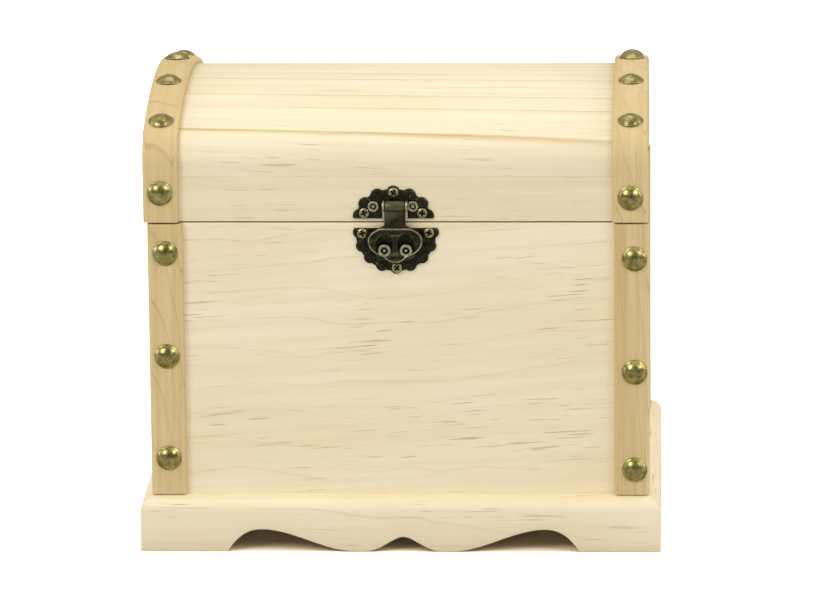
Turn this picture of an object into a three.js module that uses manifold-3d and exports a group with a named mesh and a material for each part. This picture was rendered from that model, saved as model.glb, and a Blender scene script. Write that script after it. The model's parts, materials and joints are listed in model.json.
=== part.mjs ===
// A small barrel-top treasure chest in pine: a box on a scalloped base moulding, a domed lid on two
// butt hinges at the back, corner straps held by brass dome nails, and a bronze drop latch in front.
// Millimetres, +Z up, the front faces -Y, and the origin is under the middle of the base.
import * as THREE from 'three';
import { mergeVertices } from 'three/addons/utils/BufferGeometryUtils.js';
import Module from 'manifold-3d';

const wasm = await Module();
wasm.setup();

// ---- Driving dimensions ----

const BASE = { halfW: 102.2, halfD: 79.7, height: 22.1, faceH: 16.4, thick: 7.4 };
// Half of the wave cut out of the base's lower edge, (x, z) from its outer foot in to the cusp in the middle:
// one point for a straight stretch, and two handles and an end for a curve.
const SCALLOP = [
  [[69.2, -2]],
  [[69.2, 0]],
  [[65.2, 6], [61.6, 9], [55.6, 9]],
  [[43.6, 9], [31, 0], [19, 0]],
  [[15, 0]],
  [[9, 0], [4, 6], [0, 6]],
];
const FRONT_SCALLOP = { scale: 1, shift: 1.2 };
const SIDE_SCALLOP = { scale: 0.76, shift: 0 };

const CASE = {
  halfW: BASE.halfW - BASE.thick,
  halfD: BASE.halfD - BASE.thick,
  wall: 6,
  bottomZ: 12,
  topZ: 131,
};
const FLOOR = { z: 14, thick: 5 };

const SEAM = { z: 131.3, gap: 0.6 };
// The lid is a little wider than the case and sits a little to the left of it.
const LID = { halfW: 95.2, shiftX: -1, arcR: 215, arcDrop: 170.8, cornerR: 12, railH: 18 };
LID.bottomZ = SEAM.z + SEAM.gap / 2;
LID.arcZ = SEAM.z - LID.arcDrop;
LID.jointZ = SEAM.z + LID.railH;

const STRAP = { width: 13.8, thick: 3, sideWidth: 12, hingeRelief: 3 };
const GLUE = 0.05; // glue line between two boards

const NAIL = { headR: 4.95, rise: 2.7, shankR: 0.8, shank: 7.5, lidInset: 6.8 };
const NAIL_INSETS = { left: 7, right: 5.8 }; // from the outer edge of the case's straps
const NAIL_DROPS = { left: [11.8, 53.2, 94.3], right: [14, 59.4, 98.8] }; // below the seam, on the case
const LID_NAIL_RISES = { left: 12.2, right: 10.2 }; // above the seam, on the upright front of the lid
const BACK_NAIL_RISE = 13; // above the seam, on its upright back
const LID_NAIL_TILTS = [16.7, 6.2, -5.2, -14.5]; // degrees from upright over the arch, front to back
const SCREW = { headR: 1.95, rise: 0.75, shankR: 0.7, shank: 4.4 };
const CROSS = { width: 0.5, depth: 0.4, reach: 0.62 }; // in a screw's head; reach is a share of its radius
const CLEAR = 0.25; // round a nail, screw or pin in its hole

const HINGE = { x: 52, leafW: 18, leafH: 11, leafT: 0.9, barrelR: 1.8, pinR: 0.75, gap: 0.25 };
HINGE.y = CASE.halfD + HINGE.barrelR + 0.1;

const LATCH = { plateT: 0.9, pinR: 0.7, pinRise: 7, barrelR: 2.2, barrelHalf: 3.9, tongueT: 1.1 };
LATCH.x = -1;
LATCH.plateY = -CASE.halfD - GLUE;
LATCH.faceY = LATCH.plateY - LATCH.plateT;
LATCH.pinY = LATCH.faceY - LATCH.barrelR - CLEAR;
LATCH.pinZ = SEAM.z + LATCH.pinRise;
LATCH.tongueY = LATCH.pinY + 0.7; // back face of the tongue
LATCH.bossSink = 0.2; // how far a raised part is sunk into its plate
LATCH.bodyOver = 0.6; // how far a plate's oval body reaches over the middles of its lobes
const UPPER_PLATE = { x: -1.7, z: 1.5, a: 13.2, b: 10.4, lobes: 7, lobeStep: 28, lobeR: 2.7 };
const UPPER_SCREWS = [[-11.4, 3.8], [11.2, 3.8], [0.1, 11.9]];
const UPPER_BOSSES = [[-7.8, 6.5], [7.6, 6.5]];
const BOSS = { r: 2.1, rise: 0.6, eyeR: 1.2, eyeFloor: 0.1 };
const EAR = { gap: 0.2, thick: 0.8, r: 2 };
const LOWER_PLATE = { x: -0.8, z: -4, a: 14.4, b: 14.2, lobes: 9, lobeStep: 22.5, lobeR: 2.4, top: 1.7 };
const LOWER_SCREWS = [[-13.1, -4.3], [12.9, -4.1], [0.3, -18.1]];
const POST = { half: 4.2, z: -10.6, r: 2.4, bore: 1.35, boreDepth: 0.8 };
// Half of the tongue below its pin, (x, z) from the pin down to the tip, in rows like the scallop's.
const HEART = [
  [[3.9, -1.6]],
  [[3.9, -3]],
  [[4.2, -7.6]],
  [[5.4, -8.9], [10.7, -9.6], [10.7, -13.8]],
  [[10.7, -17.6], [7.2, -19.4], [4.4, -20.4]],
  [[3, -21.8], [1.8, -22.6], [0, -22.6]],
];
const HEART_OPENING = { x: 4.6, z: -14.6, a: 3, b: 4.4, lean: 0.35 };

const ROUND = 16; // sides of a round part
const HOLE_SIDES = 8;
const ARC_SEGMENTS = 8;

const FINISH = {
  pine: { color: 0xe8dab6, roughness: 0.75, metalness: 0 },
  strap: { color: 0xd5bc87, roughness: 0.75, metalness: 0 },
  brass: { color: 0x9d9150, roughness: 0.35, metalness: 1 },
  bronze: { color: 0x4c4835, roughness: 0.5, metalness: 0.9 },
  steel: { color: 0xb9a36a, roughness: 0.35, metalness: 1 },
};

// ---- Solids ----

function solidFrom(geometry) {
  const bare = geometry.clone();
  bare.deleteAttribute('normal');
  bare.deleteAttribute('uv');
  const merged = mergeVertices(bare);
  return new wasm.Manifold(new wasm.Mesh({
    numProp: 3,
    vertProperties: merged.attributes.position.array,
    triVerts: new Uint32Array(merged.index.array),
  }));
}

function geometryFrom(solid) {
  const mesh = solid.getMesh();
  const geometry = new THREE.BufferGeometry();
  geometry.setAttribute('position', new THREE.BufferAttribute(mesh.vertProperties, 3));
  geometry.setIndex(new THREE.BufferAttribute(mesh.triVerts, 1));
  geometry.computeVertexNormals();
  return geometry;
}

function combine(how, first, others) {
  return geometryFrom(others.reduce((made, next) => made[how](solidFrom(next)), solidFrom(first)));
}

const cut = (first, ...others) => combine('subtract', first, others);
const join = (first, ...others) => combine('add', first, others);
const common = (first, ...others) => combine('intersect', first, others);

function box([x0, x1], [y0, y1], [z0, z1]) {
  return new THREE.BoxGeometry(x1 - x0, y1 - y0, z1 - z0)
    .translate((x0 + x1) / 2, (y0 + y1) / 2, (z0 + z1) / 2);
}

// A shape drawn in Y and Z, extruded along X.
function alongX(shape, x0, x1) {
  const turn = new THREE.Matrix4().makeBasis(
    new THREE.Vector3(0, 1, 0), new THREE.Vector3(0, 0, 1), new THREE.Vector3(1, 0, 0));
  return extrude(shape, x1 - x0).applyMatrix4(turn).translate(x0, 0, 0);
}

// A shape drawn in X and Z, extruded towards -Y from the plane at y.
function fromFront(shape, y, depth) {
  const turn = new THREE.Matrix4().makeBasis(
    new THREE.Vector3(1, 0, 0), new THREE.Vector3(0, 0, 1), new THREE.Vector3(0, -1, 0));
  return extrude(shape, depth).applyMatrix4(turn).translate(0, y, 0);
}

function extrude(shape, depth) {
  return new THREE.ExtrudeGeometry(shape, { depth, bevelEnabled: false, curveSegments: ARC_SEGMENTS });
}

// An outline that is its own mirror image: rows of points down one side, then back up the other.
function mirroredOutline(rows, place) {
  const shape = new THREE.Shape().moveTo(...place(...rows[0][0]));
  const stretch = (side, points) => {
    const there = points.flatMap(([across, z]) => place(side * across, z));
    if (points.length > 1) shape.bezierCurveTo(...there);
    else shape.lineTo(...there);
  };
  rows.slice(1).forEach((row) => stretch(1, row));
  for (let i = rows.length - 1; i > 0; i--) {
    stretch(-1, [...rows[i].slice(0, -1).reverse(), rows[i - 1].at(-1)]);
  }
  return shape.closePath();
}

function rodAlongX(radius, x0, x1, y, z) {
  return new THREE.CylinderGeometry(radius, radius, x1 - x0, ROUND)
    .rotateZ(Math.PI / 2)
    .translate((x0 + x1) / 2, y, z);
}

// Where a fastener or boss sits: its own +Z turned to point outwards, towards -Y when tilt is 90 degrees.
function placed(x, y, z, tilt = 90) {
  return new THREE.Matrix4().makeTranslation(x, y, z)
    .multiply(new THREE.Matrix4().makeRotationX(THREE.MathUtils.degToRad(tilt)));
}

// A cylinder standing on a placement, from `low` to `high` along its own +Z.
function stud(radius, low, high, place, sides = ROUND) {
  return new THREE.CylinderGeometry(radius, radius, high - low, sides)
    .rotateX(Math.PI / 2)
    .translate(0, 0, (low + high) / 2)
    .applyMatrix4(place);
}

// ---- Assembly ----

const chest = new THREE.Group();

function add(name, finish, geometry) {
  const mesh = new THREE.Mesh(geometry, new THREE.MeshStandardMaterial(FINISH[finish]));
  mesh.name = name;
  chest.add(mesh);
  return mesh;
}

// ---- Nails and screws ----

// A domed head on a plain shank: the head's flat underside is at zero, and the shank runs below it.
function domeHead({ headR, rise, shankR, shank }) {
  const sphereR = (headR ** 2 + rise ** 2) / (2 * rise);
  const edge = Math.asin(headR / sphereR);
  const steps = 4;
  const profile = [[0, -shank], [shankR, -shank], [shankR, 0], [headR, 0]];
  for (let i = 1; i < steps; i++) {
    const angle = edge * (1 - i / steps);
    profile.push([sphereR * Math.sin(angle), rise - sphereR * (1 - Math.cos(angle))]);
  }
  profile.push([0, rise]);
  const points = profile.map(([r, h]) => new THREE.Vector2(r, h));
  return new THREE.LatheGeometry(points, ROUND).rotateX(Math.PI / 2);
}

// A screw is a low dome with a cross cut into it.
function screwGeometry() {
  const reach = SCREW.headR * CROSS.reach;
  const half = CROSS.width / 2;
  const deep = [SCREW.rise - CROSS.depth, SCREW.rise + 1];
  const slots = [box([-reach, reach], [-half, half], deep), box([-half, half], [-reach, reach], deep)];
  return cut(domeHead(SCREW), ...slots);
}

const drill = ({ shankR, shank }, place) => stud(shankR + CLEAR, -shank - 0.5, 1, place, HOLE_SIDES);

function addFasteners(name, finish, geometry, places) {
  places.forEach((place, i) => add(`${name}_${i + 1}`, finish, geometry).applyMatrix4(place));
}

// The nails of one side: on the case's front strap, and on the lid strap from front to back over the arch.
function nailPlaces(side) {
  const out = side === 'left' ? -1 : 1;
  const strapY = -CASE.halfD - STRAP.thick - GLUE;
  const caseX = out * (CASE.halfW + STRAP.thick - NAIL_INSETS[side]);
  const lidX = LID.shiftX + out * (LID.halfW + STRAP.thick - NAIL.lidInset);
  const onCase = NAIL_DROPS[side].map((drop) => placed(caseX, strapY, SEAM.z - drop));
  const reach = LID.arcR + STRAP.thick + GLUE;
  const overArch = LID_NAIL_TILTS.map((tilt) => {
    const angle = THREE.MathUtils.degToRad(tilt);
    return placed(lidX, -reach * Math.sin(angle), LID.arcZ + reach * Math.cos(angle), tilt);
  });
  const onFront = placed(lidX, strapY, SEAM.z + LID_NAIL_RISES[side]);
  const onBack = placed(lidX, -strapY, SEAM.z + BACK_NAIL_RISE, -90);
  return { onCase, onLid: [onFront, ...overArch, onBack] };
}

const NAILS = { left: nailPlaces('left'), right: nailPlaces('right') };
const drillCaseNails = (side) => NAILS[side].onCase.map((place) => drill(NAIL, place));
const drillLidNails = (side) => NAILS[side].onLid.map((place) => drill(NAIL, place));
const SIDES = ['left', 'right'];

const onPlate = (plateX) => ([x, z]) => placed(plateX + x, LATCH.faceY - GLUE, SEAM.z + z);
const UPPER_SCREW_PLACES = UPPER_SCREWS.map(onPlate(UPPER_PLATE.x));
const LOWER_SCREW_PLACES = LOWER_SCREWS.map(onPlate(LOWER_PLATE.x));
const drillScrews = (places) => places.map((place) => drill(SCREW, place));

// ---- Base moulding ----

// One length of moulding lying along X with its outer face at y = -outer, mitred at both ends.
function moulding(halfLength, outer, waved) {
  const inner = outer - BASE.thick + GLUE;
  const round = BASE.height - BASE.faceH;
  const profile = new THREE.Shape().moveTo(-inner, 0).lineTo(-inner, BASE.height);
  profile.absellipse(-inner, BASE.faceH, outer - inner, round, Math.PI / 2, Math.PI, false, 0);
  profile.lineTo(-outer, 0).closePath();
  const end = halfLength - GLUE;
  const plan = new THREE.Shape().moveTo(-end, -outer).lineTo(end, -outer);
  plan.lineTo(end - BASE.thick, -outer + BASE.thick).lineTo(-end + BASE.thick, -outer + BASE.thick);
  const mitres = extrude(plan.closePath(), BASE.height + 1).translate(0, 0, -0.5);
  const mitred = common(alongX(profile, -end, end), mitres);
  if (!waved) return mitred;
  const wave = mirroredOutline(SCALLOP, (x, z) => [waved.shift + x * waved.scale, z]);
  return cut(mitred, fromFront(wave, 0, outer + 1));
}

const quarterTurn = Math.PI / 2;
add('base_front', 'pine', moulding(BASE.halfW, BASE.halfD, FRONT_SCALLOP));
add('base_back', 'pine', moulding(BASE.halfW, BASE.halfD, null)).rotateZ(Math.PI);
add('base_right', 'pine', moulding(BASE.halfD, BASE.halfW, SIDE_SCALLOP)).rotateZ(quarterTurn);
add('base_left', 'pine', moulding(BASE.halfD, BASE.halfW, SIDE_SCALLOP)).rotateZ(-quarterTurn);

// ---- Case ----

const caseHeight = [CASE.bottomZ, CASE.topZ];
const innerD = CASE.halfD - CASE.wall;
const innerW = CASE.halfW - CASE.wall;
const frontPanel = box([-CASE.halfW, CASE.halfW], [-CASE.halfD, -innerD], caseHeight);
const frontHoles = [...SIDES.flatMap(drillCaseNails), ...drillScrews(LOWER_SCREW_PLACES)];
add('front_panel', 'pine', cut(frontPanel, ...frontHoles));
add('back_panel', 'pine', box([-CASE.halfW, CASE.halfW], [innerD, CASE.halfD], caseHeight));
const sideDepth = [-innerD + GLUE, innerD - GLUE];
add('left_panel', 'pine', box([-CASE.halfW, -innerW], sideDepth, caseHeight));
add('right_panel', 'pine', box([innerW, CASE.halfW], sideDepth, caseHeight));
add('bottom_panel', 'pine',
  box([-innerW + GLUE, innerW - GLUE], sideDepth, [FLOOR.z, FLOOR.z + FLOOR.thick]));

// ---- Corner straps on the case ----

const strapFoot = BASE.height + GLUE;
for (const side of SIDES) {
  const out = side === 'left' ? -1 : 1;
  const edge = out * (CASE.halfW + STRAP.thick);
  const across = [edge, edge - out * STRAP.width].sort((a, b) => a - b);
  const faceY = CASE.halfD + GLUE;
  const front = box(across, [-faceY - STRAP.thick, -faceY], [strapFoot, CASE.topZ]);
  add(`strap_front_${side}`, 'strap', cut(front, ...drillCaseNails(side)));
  add(`strap_back_${side}`, 'strap',
    box(across, [faceY, faceY + STRAP.thick], [strapFoot, CASE.topZ - STRAP.hingeRelief]));
  const sideways = [edge, out * (CASE.halfW + GLUE)].sort((a, b) => a - b);
  const strip = (low, high) => box(sideways, [low, high], [strapFoot, CASE.topZ]);
  add(`side_strip_${side}_front`, 'strap', strip(-CASE.halfD, -CASE.halfD + STRAP.sideWidth));
  add(`side_strip_${side}_back`, 'strap', strip(CASE.halfD - STRAP.sideWidth, CASE.halfD));
}

// ---- Lid ----

// The lid's outline in Y and Z, `offset` outside the face of its boards. Far enough inside, the rounded
// corner between upright and arch closes up to a plain one.
function lidOutline(offset) {
  const halfD = CASE.halfD + offset;
  const arcR = LID.arcR + offset;
  const cornerR = Math.max(LID.cornerR + offset, 0);
  const cornerY = halfD - cornerR;
  const cornerZ = LID.arcZ + Math.sqrt((arcR - cornerR) ** 2 - cornerY ** 2);
  const turn = Math.asin(cornerY / (arcR - cornerR));
  return { halfD, arcR, cornerR, cornerY, cornerZ, turn };
}

// Draws the outline from the front foot over to the back foot, or back again.
function traceLid(path, offset, frontZ, backZ, backwards) {
  const { halfD, arcR, cornerR, cornerY, cornerZ, turn } = lidOutline(offset);
  const quarter = Math.PI / 2;
  const way = backwards ? -1 : 1;
  path.lineTo(-way * halfD, backwards ? backZ : frontZ);
  const corner = (side, from, to) => {
    if (cornerR > 0) path.absarc(side * cornerY, cornerZ, cornerR, from, to, !backwards);
  };
  if (backwards) {
    corner(1, 0, quarter - turn);
    path.absarc(0, LID.arcZ, arcR, quarter - turn, quarter + turn, false);
    corner(-1, quarter + turn, Math.PI);
  } else {
    corner(-1, Math.PI, quarter + turn);
    path.absarc(0, LID.arcZ, arcR, quarter + turn, quarter - turn, true);
    corner(1, quarter - turn, 0);
  }
  path.lineTo(way * halfD, backwards ? frontZ : backZ);
}

// A band of the lid's outline between two offsets, standing on frontZ and backZ.
function lidBand(inside, outside, frontZ, backZ, x0, x1) {
  const shape = new THREE.Shape().moveTo(-CASE.halfD - outside, frontZ);
  traceLid(shape, outside, frontZ, backZ, false);
  traceLid(shape, inside, frontZ, backZ, true);
  return alongX(shape.closePath(), x0, x1);
}

const lidX = [LID.shiftX - LID.halfW, LID.shiftX + LID.halfW];
const railZ = [LID.bottomZ, LID.jointZ - GLUE];
const lidNailDrills = SIDES.flatMap(drillLidNails);
const frontRail = box(lidX, [-CASE.halfD, -innerD], railZ);
add('lid_front_rail', 'pine', cut(frontRail, ...lidNailDrills, ...drillScrews(UPPER_SCREW_PLACES)));
add('lid_back_rail', 'pine', cut(box(lidX, [innerD, CASE.halfD], railZ), ...lidNailDrills));
add('lid_top_board', 'pine', cut(lidBand(-CASE.wall, 0, LID.jointZ, LID.jointZ, ...lidX), ...lidNailDrills));

for (const side of SIDES) {
  const out = side === 'left' ? -1 : 1;
  const face = LID.shiftX + out * LID.halfW;
  const endOutline = new THREE.Shape().moveTo(-innerD + GLUE, LID.bottomZ);
  traceLid(endOutline, -CASE.wall - GLUE, LID.bottomZ, LID.bottomZ, false);
  const board = [face, face - out * CASE.wall].sort((a, b) => a - b);
  add(`lid_${side}_end`, 'pine', alongX(endOutline.closePath(), ...board));

  const edge = face + out * STRAP.thick;
  const across = [edge, edge - out * STRAP.width].sort((a, b) => a - b);
  const backZ = LID.bottomZ + STRAP.hingeRelief;
  const strap = lidBand(GLUE, GLUE + STRAP.thick, LID.bottomZ, backZ, ...across);
  add(`lid_strap_${side}`, 'strap', cut(strap, ...drillLidNails(side)));
  const sideways = [edge, face + out * GLUE].sort((a, b) => a - b);
  add(`lid_end_strip_${side}`, 'strap', lidBand(-STRAP.sideWidth, 0, LID.bottomZ, LID.bottomZ, ...sideways));
}

// ---- Dome nails ----

for (const side of SIDES) {
  addFasteners(`nail_case_${side}`, 'brass', domeHead(NAIL), NAILS[side].onCase);
  addFasteners(`nail_lid_${side}`, 'brass', domeHead(NAIL), NAILS[side].onLid);
}

// ---- Butt hinges on the back ----

// A leaf with its knuckles: `up` is 1 for the lid's leaf above the pin and -1 for the case's below it.
function hingeLeaf(x, up, knuckles) {
  const { leafW, leafH, leafT, barrelR, pinR, y, gap } = HINGE;
  const leafY = [CASE.halfD + GLUE, CASE.halfD + GLUE + leafT];
  const necking = { behind: 0.1, near: 0.3, overlap: 0.5 }; // where a knuckle runs on into its leaf
  const zs = (near, far) => [SEAM.z + up * near, SEAM.z + up * far].sort((a, b) => a - b);
  const leaf = box([x - leafW / 2, x + leafW / 2], leafY, zs(barrelR + gap, leafH));
  const rolls = knuckles.flatMap(([low, high]) => [
    rodAlongX(barrelR, x + low, x + high, y, SEAM.z),
    box([x + low, x + high], [leafY[0] + necking.behind, leafY[1]],
      zs(necking.near, barrelR + gap + necking.overlap)),
  ]);
  return cut(join(leaf, ...rolls), rodAlongX(pinR + CLEAR, x - leafW, x + leafW, y, SEAM.z));
}

for (const side of SIDES) {
  const x = side === 'left' ? -HINGE.x : HINGE.x;
  const half = HINGE.leafW / 2;
  const third = half / 3;
  const outerKnuckles = [[-half, -third - HINGE.gap], [third + HINGE.gap, half]];
  add(`hinge_${side}_case_leaf`, 'bronze', hingeLeaf(x, -1, outerKnuckles));
  add(`hinge_${side}_lid_leaf`, 'bronze', hingeLeaf(x, 1, [[-third, third]]));
  add(`hinge_${side}_pin`, 'bronze', rodAlongX(HINGE.pinR, x - half, x + half, HINGE.y, SEAM.z));
}

// ---- Drop latch ----

// A round plate with a ring of lobes along an ellipse, clipped straight along one edge.
function scallopedPlate({ x, z, a, b, lobes, lobeStep, lobeR }, side, flatZ) {
  const centreZ = SEAM.z + z;
  const { bodyOver } = LATCH;
  const oval = new THREE.Shape();
  oval.absellipse(x, centreZ, a + bodyOver, b + bodyOver, 0, 2 * Math.PI, false, 0);
  const rings = [];
  for (let i = 0; i < lobes; i++) {
    const angle = THREE.MathUtils.degToRad((i - (lobes - 1) / 2) * lobeStep);
    const at = placed(x + a * Math.sin(angle), LATCH.plateY, centreZ + side * b * Math.cos(angle));
    rings.push(stud(lobeR, 0, LATCH.plateT, at));
  }
  const half = a + 2 * lobeR;
  const zs = [SEAM.z + flatZ, SEAM.z + flatZ + side * 2 * half].sort((p, q) => p - q);
  const keep = box([x - half, x + half], [LATCH.faceY - 1, LATCH.plateY + 1], zs);
  return common(join(fromFront(oval, LATCH.plateY, LATCH.plateT), ...rings), keep);
}

function upperPlate() {
  const { x, barrelHalf, pinR, pinY, pinZ, faceY, bossSink } = LATCH;
  const plate = scallopedPlate(UPPER_PLATE, 1, UPPER_PLATE.z);
  const places = UPPER_BOSSES.map(([bossX, bossZ]) => placed(UPPER_PLATE.x + bossX, faceY, SEAM.z + bossZ));
  const bosses = places.map((place) => stud(BOSS.r, -bossSink, BOSS.rise, place));
  const eyes = places.map((place) => stud(BOSS.eyeR, BOSS.eyeFloor, BOSS.rise + 1, place));
  const ears = [-1, 1].flatMap((out) => {
    const near = barrelHalf + EAR.gap;
    const span = [x + out * near, x + out * (near + EAR.thick)].sort((p, q) => p - q);
    return [
      rodAlongX(EAR.r, ...span, pinY, pinZ),
      box(span, [pinY, faceY + bossSink], [pinZ - EAR.r, pinZ + EAR.r]),
    ];
  });
  const bore = rodAlongX(pinR + CLEAR, x - 2 * barrelHalf, x + 2 * barrelHalf, pinY, pinZ);
  return cut(join(plate, ...bosses, ...ears), ...eyes, bore, ...drillScrews(UPPER_SCREW_PLACES));
}

function lowerPlate() {
  const plate = scallopedPlate(LOWER_PLATE, -1, LOWER_PLATE.z + LOWER_PLATE.top);
  const tip = LATCH.faceY - LATCH.tongueY - CLEAR;
  const places = [-1, 1].map((out) => placed(LATCH.x + out * POST.half, LATCH.faceY, SEAM.z + POST.z));
  const posts = places.map((place) => stud(POST.r, -LATCH.bossSink, tip, place));
  const bores = places.map((place) => stud(POST.bore, tip - POST.boreDepth, tip + 1, place));
  return cut(join(plate, ...posts), ...bores, ...drillScrews(LOWER_SCREW_PLACES));
}

// The tongue hangs from the pin: a rolled barrel, a short neck and a heart with two openings.
function tongue() {
  const { x, barrelHalf, barrelR, pinR, pinY, pinZ, tongueY, tongueT } = LATCH;
  const heart = mirroredOutline(HEART, (across, below) => [x + across, pinZ + below]);
  for (const out of [-1, 1]) {
    const { x: openingX, z, a, b, lean } = HEART_OPENING;
    const opening = new THREE.Path();
    opening.absellipse(x + out * openingX, pinZ + z, a, b, 0, 2 * Math.PI, false, out * lean);
    heart.holes.push(opening);
  }
  const barrel = rodAlongX(barrelR, x - barrelHalf, x + barrelHalf, pinY, pinZ);
  const bore = rodAlongX(pinR + CLEAR, x - barrelHalf - 1, x + barrelHalf + 1, pinY, pinZ);
  return cut(join(fromFront(heart, tongueY, tongueT), barrel), bore);
}

add('latch_upper_plate', 'bronze', upperPlate());
add('latch_lower_plate', 'bronze', lowerPlate());
add('latch_tongue', 'bronze', tongue());
const pinReach = LATCH.barrelHalf + EAR.gap + EAR.thick + 0.1;
const pinSpan = [LATCH.x - pinReach, LATCH.x + pinReach];
add('latch_pin', 'bronze', rodAlongX(LATCH.pinR, ...pinSpan, LATCH.pinY, LATCH.pinZ));
addFasteners('screw_upper', 'steel', screwGeometry(), UPPER_SCREW_PLACES);
addFasteners('screw_lower', 'steel', screwGeometry(), LOWER_SCREW_PLACES);

export default chest;
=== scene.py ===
"""The looks of a small barrel-top treasure chest in pine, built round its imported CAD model."""

import json
import math

import bmesh
import bpy
from mathutils import Matrix, Quaternion, Vector
from mathutils.geometry import tessellate_polygon

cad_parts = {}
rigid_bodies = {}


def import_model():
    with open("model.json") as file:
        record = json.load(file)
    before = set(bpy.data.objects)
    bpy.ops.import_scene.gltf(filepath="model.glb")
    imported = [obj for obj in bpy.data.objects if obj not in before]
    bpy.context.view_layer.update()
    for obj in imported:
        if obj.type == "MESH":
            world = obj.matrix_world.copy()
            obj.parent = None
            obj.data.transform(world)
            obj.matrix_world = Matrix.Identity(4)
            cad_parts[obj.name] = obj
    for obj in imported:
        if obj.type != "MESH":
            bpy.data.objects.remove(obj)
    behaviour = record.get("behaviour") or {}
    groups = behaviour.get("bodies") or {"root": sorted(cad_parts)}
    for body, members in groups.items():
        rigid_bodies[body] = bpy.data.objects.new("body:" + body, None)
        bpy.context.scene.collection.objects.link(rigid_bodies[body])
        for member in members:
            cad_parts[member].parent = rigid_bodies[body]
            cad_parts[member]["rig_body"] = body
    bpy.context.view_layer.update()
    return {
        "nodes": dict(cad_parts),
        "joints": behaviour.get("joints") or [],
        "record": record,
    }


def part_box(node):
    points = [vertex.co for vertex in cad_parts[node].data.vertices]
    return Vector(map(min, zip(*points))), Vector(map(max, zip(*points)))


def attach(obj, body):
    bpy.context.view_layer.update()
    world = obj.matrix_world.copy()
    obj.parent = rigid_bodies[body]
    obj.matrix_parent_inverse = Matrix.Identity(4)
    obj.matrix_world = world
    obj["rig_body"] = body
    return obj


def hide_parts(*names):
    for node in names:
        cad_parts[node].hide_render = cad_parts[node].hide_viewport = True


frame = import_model()

MM = 0.001
X_AXIS = Vector((1, 0, 0))
Y_AXIS = Vector((0, 1, 0))

# ---- Places taken from the frame, in millimetres ----


def extent(node):
    """A CAD node's lowest and highest corners."""
    low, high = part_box(node)
    return low / MM, high / MM


PANEL_LOW, PANEL_HIGH = extent("front_panel")
RAIL_LOW, RAIL_HIGH = extent("lid_front_rail")
TOP_LOW, TOP_HIGH = extent("lid_top_board")
BASE_LOW, BASE_HIGH = extent("base_front")
JOINT_PLACES = {joint["name"]: Vector(joint["pos_m"]) / MM for joint in frame["joints"]}
SLOTS = {row["node"]: row["material_slot"] for row in frame["record"]["subparts"]}
HALF_D = -PANEL_LOW.y
SEAM_Z = (PANEL_HIGH.z + RAIL_LOW.z) / 2
SIDES = {"left": -1, "right": 1}

# ---- Sizes shared with the CAD model, in millimetres ----

WALL = 6.0
GLUE = 0.05
CLEAR = 0.25
STRAP_T = 3.0
STRAP_ROUND = 1.6
STRIP_W = 12.0
ARC_R = 215.0
CORNER_R = 12.0
ARC_Z = TOP_HIGH.z - ARC_R
SCALLOP = {"foot": 69.2, "peak": 55.6, "peak_z": 9.0, "lobe": 19.0, "lobe_end": 15.0, "cusp_z": 6.0}
FRONT_WAVE = {"scale": 1.0, "shift": 1.2}
SIDE_WAVE = {"scale": 0.76, "shift": 0.0}
MOULD_FACE_H = 16.4
NAIL = {"radius": 4.95, "rise": 2.7, "lip": 0.55, "shank_r": 0.8, "shank": 7.5}
LID_NAIL_TILTS = (16.7, 6.2, -5.2, -14.5)
BACK_NAIL_DROP = 2.0
SCREW = {"radius": 1.95, "rise": 0.85, "shank_r": 0.7, "shank": 4.4}
HINGE = {"barrel_r": 1.8, "pin_r": 0.75, "leaf_t": 0.9, "leaf_h": 11.0, "gap": 0.25}
HINGE_SCREW = {"radius": 1.5, "rise": 0.45, "shank_r": 0.6, "shank": 4.0}
HINGE_SCREW_PLACE = {"share": 0.6, "from_pin": 6.6, "sunk": 0.05}
PLATE_BACK = -HALF_D - GLUE
PLATE_T = 0.9
PLATE_OVER = 1.3
# Each plate's lobes stand round an ellipse of half axes a and b, above (side 1) or below (side -1) the seam.
UPPER_PLATE = {
    "x": -1.7, "z": 1.5, "a": 13.2, "b": 10.4, "lobes": 7, "step": 28.0, "lobe_r": 2.7, "side": 1,
}
LOWER_PLATE = {
    "x": -0.8, "z": -4.0, "a": 14.4, "b": 14.2, "lobes": 9, "step": 22.5, "lobe_r": 2.4, "side": -1,
}
LOWER_TOP = -2.3
RELIEF = {"edge": 0.3, "field": 0.72, "petal": 0.42, "rim": 0.5}
RELIEF_RING = {"height": 0.28, "share": 0.76, "width": 0.035}
RELIEF_HAMMERING = {"height": 0.05, "rings": 60, "spokes": 26}
BOSSES = [(-9.5, 6.5), (5.9, 6.5)]
BOSS = {"radius": 2.1, "bore": 1.2, "proud": 0.75, "hollow": 0.5}
POST = {"half": 4.2, "z": -10.6, "radius": 2.4, "bore": 1.35, "proud": 0.25, "hollow": 0.9}
BARREL = {"radius": 2.2, "half": 3.9, "pin_r": 0.7}
EAR = {"gap": 0.2, "thick": 0.8, "smaller": 0.2}
TONGUE_T = 1.1
TONGUE_BACK = 0.7
TONGUE_BEAD = {"from_z": -8.4, "inset": 0.4, "radius": 0.3}
OPENING_BEAD = {"outset": 0.35, "radius": 0.2}
RUBBED_DEPTH = 0.24
OPENING = {"x": 4.3, "z": -15.9, "a": 3.3, "b": 4.9, "lean": 0.15}
# How far each kind of piece has its sharp edges rounded over.
EASE = {
    "board": 0.5, "rail": 0.1, "lid_end": 0.4, "strap": 0.3, "arch": 0.6, "moulding": 0.15, "tongue": 0.16,
    "leaf": 0.2,
}


# ---- Meshes, drawn in millimetres ----


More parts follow.
